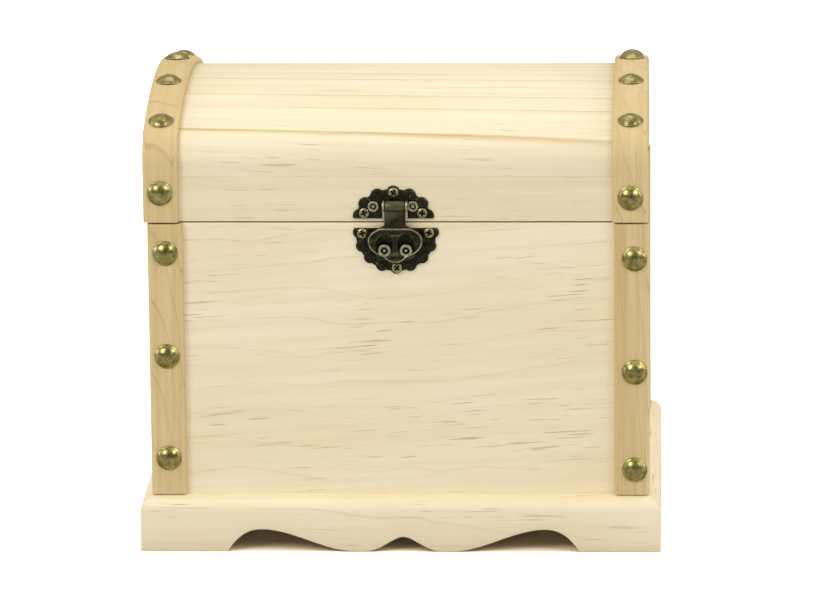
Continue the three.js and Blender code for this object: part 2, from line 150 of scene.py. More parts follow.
def new_object(name, bm, ease=0.0, sharp=35):
    """A smoothly shaded object in metres, its sharp edges rounded by `ease`."""
    bmesh.ops.recalc_face_normals(bm, faces=bm.faces)
    bmesh.ops.transform(bm, matrix=Matrix.Scale(MM, 4), verts=bm.verts)
    mesh = bpy.data.meshes.new(name)
    bm.to_mesh(mesh)
    bm.free()
    mesh.shade_smooth()
    mesh.set_sharp_from_angle(angle=math.radians(sharp))
    obj = bpy.data.objects.new(name, mesh)
    bpy.context.scene.collection.objects.link(obj)
    if ease:
        bevel = obj.modifiers.new("eased_edges", "BEVEL")
        bevel.width = ease * MM
        bevel.segments = 3
        bevel.limit_method = "ANGLE"
        bevel.angle_limit = math.radians(sharp)
        bevel.harden_normals = True
    return obj


def set_grain(bm, places):
    """Keeps each vertex's place in the log it was sawn from: along the trunk, then two ways across it."""
    layer = bm.verts.layers.float_vector.new("grain")
    for vert, place in zip(bm.verts, places):
        vert[layer] = Vector(place) * MM


def grain_by_axes(bm, axes, log, climb=0.0):
    """Grain straight from position: axes such as "xzy" name what runs along and across the log."""
    order = ["xyz".index(axis) for axis in axes]
    places = [[vert.co[order[i]] + log[i] for i in range(3)] for vert in bm.verts]
    set_grain(bm, [(along, across - climb * (along - log[0]), deep) for along, across, deep in places])


def block(low, high, axes, log, climb=0.0):
    """A squared board between two corners."""
    bm = bmesh.new()
    size = Vector(high) - Vector(low)
    middle = (Vector(high) + Vector(low)) / 2
    bmesh.ops.create_cube(bm, size=1.0, matrix=Matrix.Translation(middle) @ Matrix.Diagonal((*size, 1.0)))
    grain_by_axes(bm, axes, log, climb)
    return bm


def lofted(rings, closed_way=False):
    """A skin through closed rings of points, capped at both ends unless the way itself closes."""
    bm = bmesh.new()
    made = [[bm.verts.new(point) for point in ring] for ring in rings]
    count = len(rings[0])
    pairs = list(zip(made, made[1:]))
    if closed_way:
        pairs.append((made[-1], made[0]))
    else:
        bm.faces.new(made[0])
        bm.faces.new(made[-1])
    for a, b in pairs:
        for i in range(count):
            j = (i + 1) % count
            bm.faces.new((a[i], a[j], b[j], b[i]))
    return bm


def lath_section(width, height, round_out, round_in=0.3, steps=5):
    """A lath's section as (across, out) points, its outer corners rounded more than its inner ones."""
    half = width / 2
    corners = [
        (half - round_in, round_in, round_in, -90),
        (half - round_out, height - round_out, round_out, 0),
        (-half + round_out, height - round_out, round_out, 90),
        (-half + round_in, round_in, round_in, 180),
    ]
    points = []
    for across, out, radius, first in corners:
        for i in range(steps + 1):
            angle = math.radians(first + 90 * i / steps)
            points.append((across + radius * math.cos(angle), out + radius * math.sin(angle)))
    return points


def swept(section, path, log):
    """A section carried along a path of (point, across direction, out direction, distance)."""
    rings, grain = [], []
    for point, across, out, far in path:
        rings.append([point + across * a + out * o for a, o in section])
        grain += [(far + log[0], a + log[1], o + log[2]) for a, o in section]
    bm = lofted(rings)
    set_grain(bm, grain)
    return bm


def straight_path(foot, top, across, out, steps=12):
    """A path straight up from one height to another."""
    path = []
    for i in range(steps + 1):
        z = foot.z + (top - foot.z) * i / steps
        path.append((Vector((foot.x, foot.y, z)), across, out, z))
    return path


def slab(outline, x0, x1, axes, log):
    """An outline in Y and Z, thickened from x0 to x1."""
    bm = lofted([[(x, y, z) for y, z in outline] for x in (x0, x1)])
    grain_by_axes(bm, axes, log)
    return bm


def turned(profile, place, sides=40):
    """A profile of (radius, height) points turned about a placement's own +Z."""
    bm = bmesh.new()
    rings = []
    for radius, height in profile:
        turns = [2 * math.pi * i / sides for i in range(sides if radius > 1e-6 else 1)]
        ring = [Vector((radius * math.cos(turn), radius * math.sin(turn), height)) for turn in turns]
        rings.append([bm.verts.new(place @ point) for point in ring])
    for a, b in zip(rings, rings[1:]):
        for i in range(sides):
            j = (i + 1) % sides
            corners = [a[i % len(a)], a[j % len(a)], b[j % len(b)], b[i % len(b)]]
            bm.faces.new(list(dict.fromkeys(corners)))
    bmesh.ops.remove_doubles(bm, verts=bm.verts, dist=1e-5)
    return bm


def merged(*parts):
    """One bmesh holding the faces of several."""
    whole = bmesh.new()
    for part in parts:
        bmesh.ops.recalc_face_normals(part, faces=part.faces)
        mesh = bpy.data.meshes.new("part")
        part.to_mesh(mesh)
        part.free()
        whole.from_mesh(mesh)
        bpy.data.meshes.remove(mesh)
    return whole


def carved(bm, cutter):
    """The first solid with the second cut away."""
    objects = []
    for name, source in (("blank", bm), ("cutter", cutter)):
        bmesh.ops.recalc_face_normals(source, faces=source.faces)
        mesh = bpy.data.meshes.new(name)
        source.to_mesh(mesh)
        source.free()
        objects.append(bpy.data.objects.new(name, mesh))
        bpy.context.scene.collection.objects.link(objects[-1])
    cut = objects[0].modifiers.new("cut", "BOOLEAN")
    cut.object = objects[1]
    cut.solver = "EXACT"
    shaped = objects[0].evaluated_get(bpy.context.evaluated_depsgraph_get())
    result = bmesh.new()
    result.from_mesh(shaped.to_mesh())
    shaped.to_mesh_clear()
    for obj in objects:
        mesh = obj.data
        bpy.data.objects.remove(obj)
        bpy.data.meshes.remove(mesh)
    return result


def plate_with_holes(loops, back_y, thick):
    """A flat plate facing the front, from an outline and holes drawn in X and Z."""
    bm = bmesh.new()
    flat = [Vector((x, z, 0)) for loop in loops for x, z in loop]
    triangles = tessellate_polygon([[Vector((x, z, 0)) for x, z in loop] for loop in loops])
    layers = [[bm.verts.new((p.x, y, p.y)) for p in flat] for y in (back_y, back_y - thick)]
    for layer in layers:
        for triangle in triangles:
            bm.faces.new([layer[i] for i in triangle])
    first = 0
    for loop in loops:
        for i in range(len(loop)):
            a, b = first + i, first + (i + 1) % len(loop)
            bm.faces.new((layers[0][a], layers[0][b], layers[1][b], layers[1][a]))
        first += len(loop)
    return bm


def bead(points, y, radius, sides=8):
    """A thin round bead along a closed loop drawn in X and Z."""
    rings = []
    for i, (x, z) in enumerate(points):
        before, after = points[i - 1], points[(i + 1) % len(points)]
        tangent = Vector((after[0] - before[0], 0, after[1] - before[1])).normalized()
        out = tangent.cross(Y_AXIS)
        turns = [2 * math.pi * k / sides for k in range(sides)]
        rings.append([Vector((x, y, z)) + (out * math.cos(t) + Y_AXIS * math.sin(t)) * radius for t in turns])
    return lofted(rings, closed_way=True)


def rod(radius, x0, x1, y, z, ease=0.2, bore=0.0):
    """A round bar lying along X or, with a bore, a tube."""
    place = Matrix.Translation((x0, y, z)) @ Matrix.Rotation(math.radians(90), 4, "Y")
    length = x1 - x0
    outer = [(radius - ease, 0), (radius, ease), (radius, length - ease), (radius - ease, length)]
    profile = [(bore, 0), *outer, (bore, length)]
    return turned(profile + [(bore, 0)] if bore else profile, place, 32)


def facing(x, y, z, tilt=90):
    """A placement whose +Z points outwards: up at tilt 0, and to the front at tilt 90."""
    return Matrix.Translation((x, y, z)) @ Matrix.Rotation(math.radians(tilt), 4, "X")


def bezier(a, b, c, d, steps):
    """Points from a up to but not including d."""
    points = []
    for i in range(steps):
        t = i / steps
        weights = ((1 - t) ** 3, 3 * (1 - t) ** 2 * t, 3 * (1 - t) * t * t, t**3)
        points.append(tuple(sum(w * p[k] for w, p in zip(weights, (a, b, c, d))) for k in (0, 1)))
    return points


def oval(x, z, a, b, tilt, steps=40):
    """An ellipse about (x, z) with half axes a and b, leaning by tilt."""
    points = []
    for i in range(steps):
        angle = 2 * math.pi * i / steps
        across, up = a * math.cos(angle), b * math.sin(angle)
        points.append((
            x + across * math.cos(tilt) - up * math.sin(tilt),
            z + across * math.sin(tilt) + up * math.cos(tilt),
        ))
    return points


# ---- The lid's outline ----


def lid_outline(offset, front_z, back_z, fine=64):
    """Points and outward normals over the lid, `offset` outside its boards, from front foot to back foot."""
    half = HALF_D + offset
    corner_r = max(CORNER_R + offset, 0.0)
    corner_y = half - corner_r
    reach = ARC_R + offset - corner_r
    corner_z = ARC_Z + math.sqrt(reach**2 - corner_y**2)
    turn = math.asin(corner_y / reach)
    quarter = math.pi / 2
    upright = 9
    corner_steps = 12 if corner_r else 0
    points = []
    for i in range(upright):
        points.append((Vector((0, -half, front_z + (corner_z - front_z) * i / upright)), -Y_AXIS))

    def arc(y, z, radius, first, last, steps):
        for i in range(steps):
            angle = first + (last - first) * i / steps
            normal = Vector((0, math.sin(angle), math.cos(angle)))
            points.append((Vector((0, y, z)) + normal * radius, normal))

    arc(-corner_y, corner_z, corner_r, -quarter, -turn, corner_steps)
    arc(0, ARC_Z, ARC_R + offset, -turn, turn, fine)
    arc(corner_y, corner_z, corner_r, turn, quarter, corner_steps)
    for i in range(upright + 1):
        points.append((Vector((0, half, corner_z + (back_z - corner_z) * i / upright)), Y_AXIS))
    return points


def over_lid(x, offset, front_z, back_z):
    """The lid's outline at one x, as a path to sweep a section along."""
    path, far, before = [], 0.0, None
    for point, normal in lid_outline(offset, front_z, back_z):
        here = point + X_AXIS * x
        far += (here - before).length if before else 0.0
        path.append((here, X_AXIS, normal, far))
        before = here
    return path


# ---- Materials ----


class Nodes:
    """A short way to write a material's node tree."""

    def __init__(self, name):
        self.material = bpy.data.materials.new(name)
        self.material.use_nodes = True
        self.tree = self.material.node_tree
        self.tree.nodes.clear()
        self.shader = self.add("ShaderNodeBsdfPrincipled")
        self.output = self.add("ShaderNodeOutputMaterial")
        self.put(self.output.inputs[0], self.shader.outputs[0])

    def add(self, kind, **settings):
        node = self.tree.nodes.new(kind)
        for key, value in settings.items():
            setattr(node, key, value)
        return node

    def put(self, socket, value):
        if isinstance(value, bpy.types.NodeSocket):
            self.tree.links.new(value, socket)
        else:
            socket.default_value = value

    def math(self, operation, a, b=0.0, clamp=False):
        node = self.add("ShaderNodeMath", operation=operation, use_clamp=clamp)
        self.put(node.inputs[0], a)
        self.put(node.inputs[1], b)
        return node.outputs[0]

    def scaled(self, vector, factors):
        node = self.add("ShaderNodeVectorMath", operation="MULTIPLY")
        self.put(node.inputs[0], vector)
        node.inputs[1].default_value = factors
        return node.outputs[0]

    def noise(self, vector, scale=1.0, detail=2.0, rough=0.5):
        node = self.add("ShaderNodeTexNoise")
        self.put(node.inputs["Vector"], vector)
        node.inputs["Scale"].default_value = scale
        node.inputs["Detail"].default_value = detail
        node.inputs["Roughness"].default_value = rough
        return node.outputs["Fac"]

    def range(self, value, low, high, to_low=0.0, to_high=1.0):
        node = self.add("ShaderNodeMapRange")
        for socket, given in zip(node.inputs, (value, low, high, to_low, to_high)):
            self.put(socket, given)
        return node.outputs[0]

    def mix(self, share, a, b):
        node = self.add("ShaderNodeMix", data_type="RGBA")
        self.put(node.inputs[0], share)
        self.put(node.inputs[6], a)
        self.put(node.inputs[7], b)
        return node.outputs[2]

    def ramp(self, value, stops):
        node = self.add("ShaderNodeValToRGB")
        self.put(node.inputs[0], value)
        elements = node.color_ramp.elements
        while len(elements) < len(stops):
            elements.new(0.5)
        for element, (place, grey) in zip(elements, stops):
            element.position = place
            element.color = (grey, grey, grey, 1)
        return node.outputs[0]

    def bump(self, height, strength, distance):
        node = self.add("ShaderNodeBump")
        node.inputs["Strength"].default_value = strength
        node.inputs["Distance"].default_value = distance
        self.put(node.inputs["Height"], height)
        return node.outputs[0]


def screen_colour(red, green, blue):
    """A colour given as a screen shows it, 0 to 255, turned into linear light."""
    shares = [value / 255 for value in (red, green, blue)]
    return (*[s / 12.92 if s <= 0.04045 else ((s + 0.055) / 1.055) ** 2.4 for s in shares], 1.0)


def log_rings(n, place, ring_mm, slope, wobble):
    """Growth rings about the trunk's middle: 0 in pale early wood, rising to 1 at a ring's dark edge."""
    split = n.add("ShaderNodeSeparateXYZ")
    n.put(split.inputs[0], place)
    along, across, deep = split.outputs
    bend = n.noise(n.scaled(place, (0.011, 0.02, 0.02)), detail=2)
    ripple = n.noise(n.scaled(place, (0.05, 0.12, 0.12)), detail=1)
    across = n.math("ADD", across, n.math("MULTIPLY", bend, wobble))
    deep = n.math("ADD", deep, n.math("MULTIPLY", along, slope))
    square = n.math("ADD", n.math("MULTIPLY", across, across), n.math("MULTIPLY", deep, deep))
    radius = n.math("ADD", n.math("SQRT", square), n.math("MULTIPLY", ripple, wobble * 0.12))
    phase = n.math("FRACT", n.math("DIVIDE", radius, ring_mm))
    return n.ramp(phase, [(0.0, 0.0), (0.7, 0.04), (0.92, 0.14), (0.97, 1.0), (1.0, 0.0)])


def wood(name, pale, warm, ring, fleck, ring_mm, ring_share, fleck_share, streak_share, slope, wobble):
    """Planed softwood: rings, streaks, patches, pores and short resin flecks that follow the grain."""
    n = Nodes(name)
    place = n.scaled(n.add("ShaderNodeAttribute", attribute_name="grain").outputs["Vector"], (1000,) * 3)
    rings = log_rings(n, place, ring_mm, slope, wobble)
    fade = n.range(n.noise(n.scaled(place, (0.009, 0.07, 0.07)), detail=2), 0.3, 0.62, 0.25)
    rings = n.math("MULTIPLY", n.math("MULTIPLY", rings, fade), ring_share)
    streak = n.range(n.noise(n.scaled(place, (0.006, 0.28, 0.28)), detail=5, rough=0.62), 0.32, 0.68)
    patch = n.range(n.noise(n.scaled(place, (0.013, 0.03, 0.03)), detail=2), 0.42, 0.62)
    pores = n.noise(n.scaled(place, (0.10, 3.4, 3.4)), detail=2, rough=0.6)
    dashes = n.range(n.noise(n.scaled(place, (0.06, 1.5, 1.5)), detail=1.5), 0.63, 0.73)
    gather = n.range(n.noise(n.scaled(place, (0.02, 0.045, 0.045)), detail=1), 0.42, 0.58, 0.12)
    flecks = n.math("MULTIPLY", n.math("MULTIPLY", dashes, gather), fleck_share)
    colour = n.mix(n.math("MULTIPLY", streak, streak_share), pale, warm)
    colour = n.mix(n.math("MULTIPLY", patch, 0.4), colour, warm)
    colour = n.mix(rings, colour, ring)
    colour = n.mix(flecks, colour, fleck)
    n.put(n.shader.inputs["Base Color"], colour)
    n.put(n.shader.inputs["Roughness"], n.range(streak, 0.0, 1.0, 0.6, 0.74))
    n.shader.inputs["Specular IOR Level"].default_value = 0.25
    height = n.math("SUBTRACT", n.math("MULTIPLY", pores, 0.6), flecks)
    height = n.math("SUBTRACT", height, n.math("MULTIPLY", rings, 0.3))
    n.put(n.shader.inputs["Normal"], n.bump(height, 0.3, 0.0002))
    return n.material


def metal(name, bright, dark, rough, wear, blotch_mm, pit_mm, hollow_mm):
    """Antiqued plating: patina in blotches, rubbed along the edges, finely pitted, and blacker wherever
    ambient occlusion finds a hollow or a neighbouring part, partly patina in hollows and partly painted
    shade.
    """
    n = Nodes(name)
    place = n.scaled(n.add("ShaderNodeTexCoord").outputs["Object"], (1000,) * 3)
    blotch = n.range(n.noise(place, scale=1 / blotch_mm, detail=4, rough=0.65), 0.38, 0.64)
    pits = n.noise(place, scale=1 / pit_mm, detail=3, rough=0.6)
    edge = n.range(n.add("ShaderNodeNewGeometry").outputs["Pointiness"], 0.515, 0.60)
    rubbed = n.math("MULTIPLY", edge, wear)
    patina = n.math("MULTIPLY", blotch, 1 - min(wear, 0.75))
    colour = n.mix(n.math("ADD", patina, rubbed, clamp=True), dark, bright)
    # Painted shade: ambient occlusion darkens the colour in hollows and where parts meet, such as a nail's
    # rim on its strap; in the hollows it is partly real patina.
    hollow = n.add("ShaderNodeAmbientOcclusion", samples=8)
    hollow.inputs["Distance"].default_value = hollow_mm * MM
    hollow_patina_and_painted_shade = tuple(0.12 * share for share in dark[:3]) + (1.0,)
    colour = n.mix(n.range(hollow.outputs["AO"], 0.3, 0.85), hollow_patina_and_painted_shade, colour)
    n.put(n.shader.inputs["Base Color"], colour)
    n.shader.inputs["Metallic"].default_value = 1.0
    n.put(n.shader.inputs["Roughness"], n.range(pits, 0.3, 0.7, rough, rough + 0.2))
    n.put(n.shader.inputs["Normal"], n.bump(pits, 0.2, 0.00012))
    return n.material


PINE = wood(
    "pine",
    pale=screen_colour(241, 228, 199), warm=screen_colour(232, 214, 174),
    ring=screen_colour(212, 186, 134), fleck=screen_colour(170, 134, 84),
    ring_mm=11.0, ring_share=0.35, fleck_share=0.6, streak_share=0.7, slope=0.05, wobble=26.0,
)
LID_PINE = wood(
    "lid_pine",
    pale=screen_colour(237, 225, 195), warm=screen_colour(226, 209, 168),
    ring=screen_colour(188, 156, 98), fleck=screen_colour(176, 140, 90),
    ring_mm=8.2, ring_share=0.8, fleck_share=0.5, streak_share=0.6, slope=0.002, wobble=1.0,
)
STRAP_PINE = wood(
    "strap_pine",
    pale=screen_colour(219, 197, 148), warm=screen_colour(196, 168, 112),
    ring=screen_colour(168, 130, 74), fleck=screen_colour(150, 114, 62),
    ring_mm=2.6, ring_share=0.6, fleck_share=0.3, streak_share=0.85, slope=0.09, wobble=6.0,
)
DOME_NAIL_BRASS = metal(
    "dome_nail_brass", screen_colour(196, 184, 122), screen_colour(128, 115, 62),
    rough=0.2, wear=0.2, blotch_mm=2.5, pit_mm=1.2, hollow_mm=1.0,
)
ANTIQUE_BRONZE = metal(
    "antique_bronze", screen_colour(106, 100, 76), screen_colour(42, 39, 30),
    rough=0.38, wear=0.9, blotch_mm=1.6, pit_mm=0.5, hollow_mm=1.2,
)
SCREW_WORN_BRASS = metal(
    "screw_worn_brass", screen_colour(226, 216, 170), screen_colour(150, 140, 100),
    rough=0.25, wear=0.6, blotch_mm=1.4, pit_mm=0.6, hollow_mm=0.6,
)
RUBBED_BRONZE = metal(
    "rubbed_bronze", screen_colour(206, 200, 168), screen_colour(128, 121, 92),
    rough=0.3, wear=0.5, blotch_mm=1.2, pit_mm=0.5, hollow_mm=0.5,
)
# The finish for each of the record's material slots.
FINISHES = {
    "pine": PINE,
    "strap_pine": STRAP_PINE,
    "dome_nail_brass": DOME_NAIL_BRASS,
    "antique_bronze": ANTIQUE_BRONZE,
    "screw_worn_brass": SCREW_WORN_BRASS,
}


def rubbed(bm):
    """Marks raised edges that years of handling have rubbed bright, for a piece's second material."""
    for face in bm.faces:
        face.material_index = 1
    return bm


def stand_for(obj, node, material=None):
    """The piece takes the CAD node's place, its body and its finish."""
    obj.data.materials.append(material or FINISHES[SLOTS[node]])
    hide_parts(node)
    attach(obj, frame["nodes"][node]["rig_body"])


def add_extra(obj, body, slot):
    """A piece too small to have a CAD node of its own."""
    obj.data.materials.append(FINISHES[slot])
    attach(obj, body)


# ---- Boards ----

# Each board's place in the log: how far along, across and deep its own zero lies from the log's middle.
BOARDS = {
    "front_panel": ("xzy", (0, 60, 150)),
    "back_panel": ("xzy", (400, -90, 60)),
    "left_panel": ("yzx", (900, 20, 190)),
    "right_panel": ("yzx", (1300, -150, 60)),
    "bottom_panel": ("xyz", (1700, 90, 60)),
    "lid_back_rail": ("xzy", (2300, -120, 40)),
}
LID_RAIL_LOG = (470, -140.5, 46.6)
# The bent board's log place is measured from its joint with the rail. Its rings are drawn in round the
# corner, and fall to the right.
LID_BEND = {"along": 70, "joint": -7.0, "deep": 47.7, "corner": 20.3, "drawn_in": 1.75, "fall": 0.035}
FRONT_CLIMB = 0.07  # how fast the front panel's grain rises to the right


def build_boards():
    for node, (axes, log) in BOARDS.items():
        climb = FRONT_CLIMB if node == "front_panel" else 0.0
        board = block(*extent(node), axes, log, climb)
        stand_for(new_object(node + "_board", board, EASE["board"]), node)
    along, across, deep = LID_RAIL_LOG
    rail = block(RAIL_LOW, RAIL_HIGH, "xzy", (along, across, deep + HALF_D))
    stand_for(new_object("lid_front_rail_board", rail, EASE["rail"]), "lid_front_rail", LID_PINE)


def build_lid_top():
    """The bent top board, its grain running from end to end."""
    lath = lath_section(TOP_HIGH.x - TOP_LOW.x, WALL, 0.3, 0.3, steps=2)
    section = [(across, out - WALL) for across, out in lath]
    path = over_lid((TOP_LOW.x + TOP_HIGH.x) / 2, 0, TOP_LOW.z, TOP_LOW.z)
    top = swept(section, path, (0, 0, 0))
    layer = top.verts.layers.float_vector["grain"]
    for vert in top.verts:
        far, _, out = vert[layer] / MM
        across = far + LID_BEND["joint"] - LID_BEND["drawn_in"] * min(far / LID_BEND["corner"], 1)
        across += LID_BEND["fall"] * vert.co.x
        vert[layer] = Vector((vert.co.x + LID_BEND["along"], across, out + LID_BEND["deep"])) * MM
    stand_for(new_object("lid_top_board_bent", top), "lid_top_board", LID_PINE)


def build_lid_ends():
    for side in SIDES:
        node = f"lid_{side}_end"
        low, high = extent(node)
        outline = [(point.y, point.z) for point, _ in lid_outline(-WALL - GLUE, low.z, low.z)]
        log = (2700 + 300 * SIDES[side], -150, 60)
        end = slab(outline, low.x, high.x, "yzx", log)
        stand_for(new_object(node + "_board", end, EASE["lid_end"]), node)


# ---- Straps ----

# A strap's place in the log: near the middle its rings show as arches, and far out as straight streaks.
STRAP_LOGS = {"left": (-60, 3, 6), "right": (260, 40, 6)}


def build_case_straps():
    for side, out in SIDES.items():
        along, across, deep = STRAP_LOGS[side]
        for end, toward in (("front", -1), ("back", 1)):
            node = f"strap_{end}_{side}"
            low, high = extent(node)
            foot = Vector(((low.x + high.x) / 2, high.y if toward < 0 else low.y, low.z))
            path = straight_path(foot, high.z, X_AXIS, Y_AXIS * toward)
            section = lath_section(high.x - low.x, STRAP_T, STRAP_ROUND)
            log = (along + 500 * (toward > 0), across, deep)
            stand_for(new_object(node + "_lath", swept(section, path, log), EASE["strap"]), node)

            node = f"side_strip_{side}_{end}"
            low, high = extent(node)
            foot = Vector((high.x if out < 0 else low.x, (low.y + high.y) / 2, low.z))
            path = straight_path(foot, high.z, Y_AXIS, X_AXIS * out)
            section = lath_section(high.y - low.y, high.x - low.x, STRAP_ROUND)
            log = (along + 900, across + 12 * toward, deep)
            stand_for(new_object(node + "_lath", swept(section, path, log), EASE["strap"]), node)


def build_lid_straps():
    for side in SIDES:
        along, across, deep = STRAP_LOGS[side]
        node = f"lid_strap_{side}"
        low, high = extent(node)
        section = lath_section(high.x - low.x, STRAP_T, STRAP_ROUND)
        # The back strap on the case stops short of the seam for the hinge line, and so does this one.
        back_z = 2 * SEAM_Z - extent(f"strap_back_{side}")[1].z
        path = over_lid((low.x + high.x) / 2, GLUE, low.z, back_z)
        strap = swept(section, path, (along + 1400, across, deep))
        stand_for(new_object(node + "_lath", strap, EASE["strap"]), node)

        node = f"lid_end_strip_{side}"
        low, high = extent(node)
        outer = lid_outline(0, low.z, low.z)
        inner = lid_outline(-STRIP_W, low.z, low.z)
        outline = [(point.y, point.z) for point, _ in outer + inner[::-1]]
        log = (along + 1800, -100, 30)
        arch = slab(outline, low.x, high.x, "yzx", log)
        stand_for(new_object(node + "_arch", arch, EASE["arch"]), node)


# ---- Base moulding ----


def wave_line(half_length, scale, shift):
    """The moulding's waved lower edge as (x, z) points from its left end to its right end."""
    foot, peak, peak_z, lobe, lobe_end, cusp_z = SCALLOP.values()
    half = bezier((-foot, 0), (-foot + 4, 6), (-peak - 6, peak_z), (-peak, peak_z), 14)
    half += bezier((-peak, peak_z), (-peak + 12, peak_z), (-lobe - 12, 0), (-lobe, 0), 20)
    half += [(-lobe, 0), (-(lobe + lobe_end) / 2, 0)]
    half += bezier((-lobe_end, 0), (-lobe_end + 6, 0), (-4, cusp_z), (0, cusp_z), 14)
    wave = half + [(0, cusp_z)] + [(-x, z) for x, z in reversed(half)]
    wave = [(x * scale + shift, z) for x, z in wave]
    end = wave[0][0] + half_length
    left = [(-half_length + end * i / 6, 0.0) for i in range(6)]
    end = half_length - wave[-1][0]
    right = [(half_length - end * i / 6, 0.0) for i in range(6)]
    return left + wave + right[::-1]


def moulding(node, half_length, outer, wave, turn, log):
    """A mitred length of moulding, shaped lying along X in front and then turned to its own side."""
    thick, height, ease = BASE_HIGH.y - BASE_LOW.y, BASE_HIGH.z, 0.45
    keep = half_length - thick - 1
    line = [(-half_length + half_length * i / 12, 0.0) for i in range(25)]
    if wave:
        line = wave_line(half_length, **wave)

    def mitred(x, y):
        beyond = max(abs(x) - keep, 0) / (half_length - keep)
        return math.copysign(abs(x) - beyond * (outer + y), x)

    rings, grain = [], []
    for i, (x, z) in enumerate(line):
        before, after = line[max(i - 1, 0)], line[min(i + 1, len(line) - 1)]
        tangent = Vector((after[0] - before[0], after[1] - before[1])).normalized()
        section = [(x, -outer + thick, z)]
        for step in range(4):
            angle = math.radians(30 * step)
            lift = ease * (1 - math.cos(angle))
            y = -outer + ease * (1 - math.sin(angle))
            section.append((x - tangent.y * lift, y, z + tangent.x * lift))
        section.append((x, -outer, (z + MOULD_FACE_H) / 2))
        for step in range(9):
            angle = math.radians(90 * step / 8)
            rise = (height - MOULD_FACE_H) * math.sin(angle)
            section.append((x, -outer + thick * (1 - math.cos(angle)), MOULD_FACE_H + rise))
        section.append((x, -outer + thick, (z + height) / 2))
        rings.append([Vector((mitred(px, py), py, pz)) for px, py, pz in section])
        grain += [(px + log[0], pz + log[1], py + log[2]) for px, py, pz in section]
    bm = lofted(rings)
    set_grain(bm, grain)
    bmesh.ops.rotate(bm, cent=(0, 0, 0), matrix=Matrix.Rotation(math.radians(turn), 3, "Z"), verts=bm.verts)
    stand_for(new_object(node + "_moulding", bm, EASE["moulding"], sharp=50), node)


def build_base():
    half_w, half_d = BASE_HIGH.x, -BASE_LOW.y
    moulding("base_front", half_w, half_d, FRONT_WAVE, 0, (3300, 60, 150))
    moulding("base_back", half_w, half_d, None, 180, (3700, -90, 150))
    moulding("base_right", half_d - GLUE, half_w + GLUE, SIDE_WAVE, 90, (4100, 50, 160))
    moulding("base_left", half_d - GLUE, half_w + GLUE, SIDE_WAVE, -90, (4500, -70, 190))


# ---- Dome nails ----


def nail_profile():
    """A plain shank, and a head with a rolled lip under a smooth dome."""
    radius, rise, lip, shank_r, shank = NAIL.values()
    dome_r = radius - 0.35
    sphere = (dome_r**2 + (rise - lip) ** 2) / (2 * (rise - lip))
    edge = math.asin(dome_r / sphere)
    profile = [(0, -shank), (shank_r, -shank + 0.8), (shank_r, -0.1), (radius - 0.5, -0.02)]
    profile += [(radius - 0.1, 0.06), (radius, 0.25), (radius - 0.06, lip * 0.8), (dome_r, lip)]
    steps = 12
    for i in range(1, steps):
        angle = edge * (1 - i / steps)
        profile.append((sphere * math.sin(angle), rise - sphere * (1 - math.cos(angle))))
    return profile + [(0, rise)]


def nail_at(name, place):
    return new_object(name, turned(nail_profile(), place, 48), sharp=60)


def nail_place(node):
    """Nails in upright stretches lie level, and their box gives their place. Over the arch they point out."""
    low, high = extent(node)
    middle = (low + high) / 2
    number = int(node.rsplit("_", 1)[1])
    if "_case_" in node or number == 1:
        return facing(middle.x, high.y - NAIL["shank"], middle.z)
    if number > len(LID_NAIL_TILTS) + 1:
        return facing(middle.x, low.y + NAIL["shank"], middle.z, -90)
    tilt = LID_NAIL_TILTS[number - 2]
    reach = ARC_R + STRAP_T + GLUE
    angle = math.radians(tilt)
    return facing(middle.x, -reach * math.sin(angle), ARC_Z + reach * math.cos(angle), tilt)


def build_nails():
    for node in SLOTS:
        if node.startswith("nail_"):
            stand_for(nail_at(node + "_dome", nail_place(node)), node)


def build_back_nails():
    """The nails behind, three on each back strap of the case."""
    for side in SIDES:
        strap_y = extent(f"strap_back_{side}")[1].y
        for number in (1, 2, 3):
            low, high = extent(f"nail_case_{side}_{number}")
            place = facing((low.x + high.x) / 2, strap_y, (low.z + high.z) / 2 - BACK_NAIL_DROP, -90)
            add_extra(nail_at(f"nail_back_{side}_{number}", place), "case", "dome_nail_brass")


# ---- Screws ----


def cross_ring(reach, half, z):
    """A cross-shaped ring of points."""
    ring = []
    for quarter in range(4):
        turn = Matrix.Rotation(math.radians(90 * quarter), 3, "Z")
        ring += [turn @ Vector((x, y, z)) for x, y in ((reach, -half), (reach, half), (half, half))]
    return ring


def screw_solid(radius, rise, shank_r, shank):
    """A pan-head screw standing on zero, with a tapered cross recess."""
    profile = [(0, -shank), (shank_r * 0.4, -shank), (shank_r, -shank + 1), (shank_r, 0), (radius - 0.1, 0)]
    profile += [(radius, 0.1), (radius, rise * 0.3)]
    steps = 8
    for i in range(1, steps):
        angle = math.radians(90 * i / steps)
        profile.append((radius * math.cos(angle), rise * (0.3 + 0.7 * math.sin(angle))))
    head = turned(profile + [(0, rise)], Matrix.Identity(4), 48)
    reach, half = radius * 0.68, radius * 0.21
    recess = [
        cross_ring(reach * 1.1, half * 1.2, rise + 0.3),
        cross_ring(reach, half, rise * 0.7),
        cross_ring(radius * 0.3, radius * 0.12, -0.4),
    ]
    return carved(head, lofted(recess))


def screw_at(name, solid, place):
    bm = solid.copy()
    bmesh.ops.transform(bm, matrix=place, verts=bm.verts)
    return new_object(name, bm, sharp=40)


def build_latch_screws():
    """The six screws of the two plates, each driven to its own angle."""
    solid = screw_solid(**SCREW)
    for number, node in enumerate(sorted(n for n in SLOTS if n.startswith("screw_"))):
        low, high = extent(node)
        middle = (low + high) / 2
        twist = Matrix.Rotation(math.radians(15 + 62 * number), 4, "Z")
        place = facing(middle.x, high.y - SCREW["shank"], middle.z) @ twist
        stand_for(screw_at(node + "_head", solid, place), node)
    solid.free()


# ---- Latch ----


def lobe_centres(plate):
    """The middles of the round lobes that stand out round a plate's edge."""
    centres = []
    for i in range(plate["lobes"]):
        angle = math.radians((i - (plate["lobes"] - 1) / 2) * plate["step"])
        x = plate["x"] + plate["a"] * math.sin(angle)
        centres.append((x, SEAM_Z + plate["z"] + plate["side"] * plate["b"] * math.cos(angle)))
    return centres


